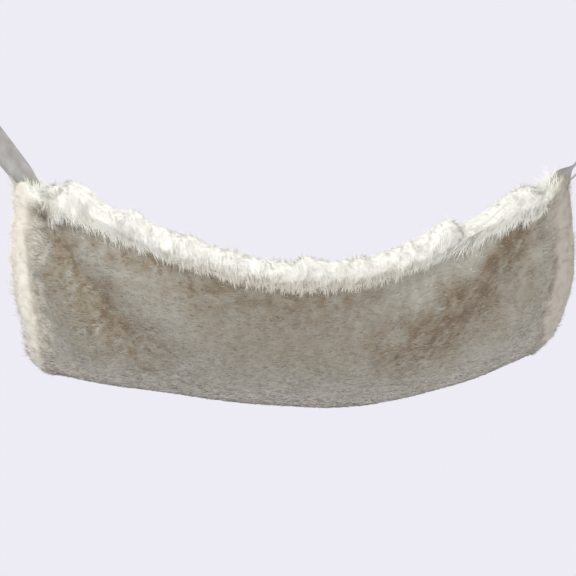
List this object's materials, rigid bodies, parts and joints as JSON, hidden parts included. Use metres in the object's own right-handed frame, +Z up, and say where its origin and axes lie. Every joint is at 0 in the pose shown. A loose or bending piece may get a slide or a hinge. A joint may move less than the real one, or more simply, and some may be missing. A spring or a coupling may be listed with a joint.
{
  "type": "cat hammock",
  "caption": "Plush cage hammock: padded cloth hung by its corners from webbing straps with sliders and sprung swivel hooks.",
  "frame": {"origin": "the middle of the four places where the hooks bear on the cage's wires", "axes": "+X along the hammock, towards the end at the right of the picture; +Y away from its front; +Z up"},
  "size_m": [0.8191, 0.2936, 0.3732],
  "materials": {
    "lining": "long shaggy pile",
    "wadding": "soft filling",
    "underside": "short plush pile",
    "webbing": "flat woven webbing",
    "nickel": "satin nickel plate",
    "spring_steel": "bright wire"
  },
  "bodies": {
    "cloth": {"lining": "lining", "wadding": "wadding", "underside": "underside"},
    "front_left_strap": {"strap_front_left": "webbing"},
    "front_left_slider": {"slider_front_left": "nickel"},
    "front_left_eye": {"eye_front_left": "nickel"},
    "front_left_hook": {"hook_front_left": "nickel", "gate_pin_front_left": "nickel", "gate_spring_front_left": "spring_steel"},
    "front_left_gate": {"gate_front_left": "nickel"},
    "front_right_strap": {"strap_front_right": "webbing"},
    "front_right_slider": {"slider_front_right": "nickel"},
    "front_right_eye": {"eye_front_right": "nickel"},
    "front_right_hook": {"hook_front_right": "nickel", "gate_pin_front_right": "nickel", "gate_spring_front_right": "spring_steel"},
    "front_right_gate": {"gate_front_right": "nickel"},
    "back_left_strap": {"strap_back_left": "webbing"},
    "back_left_slider": {"slider_back_left": "nickel"},
    "back_left_eye": {"eye_back_left": "nickel"},
    "back_left_hook": {"hook_back_left": "nickel", "gate_pin_back_left": "nickel", "gate_spring_back_left": "spring_steel"},
    "back_left_gate": {"gate_back_left": "nickel"},
    "back_right_strap": {"strap_back_right": "webbing"},
    "back_right_slider": {"slider_back_right": "nickel"},
    "back_right_eye": {"eye_back_right": "nickel"},
    "back_right_hook": {"hook_back_right": "nickel", "gate_pin_back_right": "nickel", "gate_spring_back_right": "spring_steel"},
    "back_right_gate": {"gate_back_right": "nickel"}
  },
  "joints": [
    {"name": "front_left_swing", "type": "hinge", "parent": "cloth", "child": "front_left_strap", "pos_m": [-0.26049, -0.06962, -0.16199], "axis": [0.7233, -0.5629, 0.3999], "range_deg": [-30, 75], "deforming": ["strap_front_left"]},
    {"name": "front_left_slide", "type": "slide", "parent": "front_left_strap", "child": "front_left_slider", "axis": [-0.5895, -0.2016, 0.7822], "range_m": [-0.03, 0.005]},
    {"name": "front_left_tilt", "type": "hinge", "parent": "front_left_strap", "child": "front_left_eye", "pos_m": [-0.35361, -0.10056, -0.03842], "axis": [-0.7988, 0.0014, -0.6016], "range_deg": [-60, 60]},
    {"name": "front_left_swivel", "type": "hinge", "parent": "front_left_eye", "child": "front_left_hook", "pos_m": [-0.35361, -0.10056, -0.03842], "axis": [-0.5895, -0.2016, 0.7822], "continuous": true},
    {"name": "front_left_gate_turn", "type": "hinge", "parent": "front_left_hook", "child": "front_left_gate", "pos_m": [-0.37173, -0.09966, -0.02627], "axis": [0.3597, 0.8015, 0.4777], "range_deg": [0, 25], "stiffness_Nm_per_rad": 0.03, "springref_deg": -20.05, "deforming": ["gate_spring_front_left"]},
    {"name": "front_right_swing", "type": "hinge", "parent": "cloth", "child": "front_right_strap", "pos_m": [0.22978, -0.1055, -0.16426], "axis": [0.6689, 0.468, -0.5776], "range_deg": [-30, 75], "deforming": ["strap_front_right"]},
    {"name": "front_right_slide", "type": "slide", "parent": "front_right_strap", "child": "front_right_slider", "axis": [0.6686, -0.0391, 0.7426], "range_m": [-0.03, 0.005]},
    {"name": "front_right_tilt", "type": "hinge", "parent": "front_right_strap", "child": "front_right_eye", "pos_m": [0.34363, -0.11214, -0.03647], "axis": [-0.0789, -0.9967, 0.0185], "range_deg": [-60, 60]},
    {"name": "front_right_swivel", "type": "hinge", "parent": "front_right_eye", "child": "front_right_hook", "pos_m": [0.34363, -0.11214, -0.03647], "axis": [0.6686, -0.0391, 0.7426], "continuous": true},
    {"name": "front_right_gate_turn", "type": "hinge", "parent": "front_right_hook", "child": "front_right_gate", "pos_m": [0.35115, -0.11702, -0.01657], "axis": [-0.3249, 0.8829, 0.3391], "range_deg": [0, 25], "stiffness_Nm_per_rad": 0.03, "springref_deg": -20.05, "deforming": ["gate_spring_front_right"]},
    {"name": "back_left_swing", "type": "hinge", "parent": "cloth", "child": "back_left_strap", "pos_m": [-0.26089, 0.0696, -0.16223], "axis": [-0.6986, -0.553, -0.4541], "range_deg": [-30, 75], "deforming": ["strap_back_left"]},
    {"name": "back_left_slide", "type": "slide", "parent": "back_left_strap", "child": "back_left_slider", "axis": [-0.6373, 0.1924, 0.7462], "range_m": [-0.03, 0.005]},
    {"name": "back_left_tilt", "type": "hinge", "parent": "back_left_strap", "child": "back_left_eye", "pos_m": [-0.36815, 0.10105, -0.03665], "axis": [0.7588, -0.012, 0.6512], "range_deg": [-60, 60]},
    {"name": "back_left_swivel", "type": "hinge", "parent": "back_left_eye", "child": "back_left_hook", "pos_m": [-0.36815, 0.10105, -0.03665], "axis": [-0.6373, 0.1924, 0.7462], "continuous": true},
    {"name": "back_left_gate_turn", "type": "hinge", "parent": "back_left_hook", "child": "back_left_gate", "pos_m": [-0.37479, 0.10974, -0.01775], "axis": [0.3253, -0.8107, 0.4868], "range_deg": [0, 25], "stiffness_Nm_per_rad": 0.03, "springref_deg": -20.05, "deforming": ["gate_spring_back_left"]},
    {"name": "back_right_swing", "type": "hinge", "parent": "cloth", "child": "back_right_strap", "pos_m": [0.23024, 0.10545, -0.1647], "axis": [-0.6164, 0.4636, 0.6365], "range_deg": [-30, 75], "deforming": ["strap_back_right"]},
    {"name": "back_right_slide", "type": "slide", "parent": "back_right_strap", "child": "back_right_slider", "axis": [0.7309, 0.0359, 0.6816], "range_m": [-0.03, 0.005]},
    {"name": "back_right_tilt", "type": "hinge", "parent": "back_right_strap", "child": "back_right_eye", "pos_m": [0.36965, 0.11226, -0.03348], "axis": [0.078, -0.9965, -0.0312], "range_deg": [-60, 60]},
    {"name": "back_right_swivel", "type": "hinge", "parent": "back_right_eye", "child": "back_right_hook", "pos_m": [0.36965, 0.11226, -0.03348], "axis": [0.7309, 0.0359, 0.6816], "continuous": true},
    {"name": "back_right_gate_turn", "type": "hinge", "parent": "back_right_hook", "child": "back_right_gate", "pos_m": [0.38966, 0.10892, -0.02541], "axis": [-0.2931, -0.8853, 0.361], "range_deg": [0, 25], "stiffness_Nm_per_rad": 0.03, "springref_deg": -20.05, "deforming": ["gate_spring_back_right"]}
  ]
}
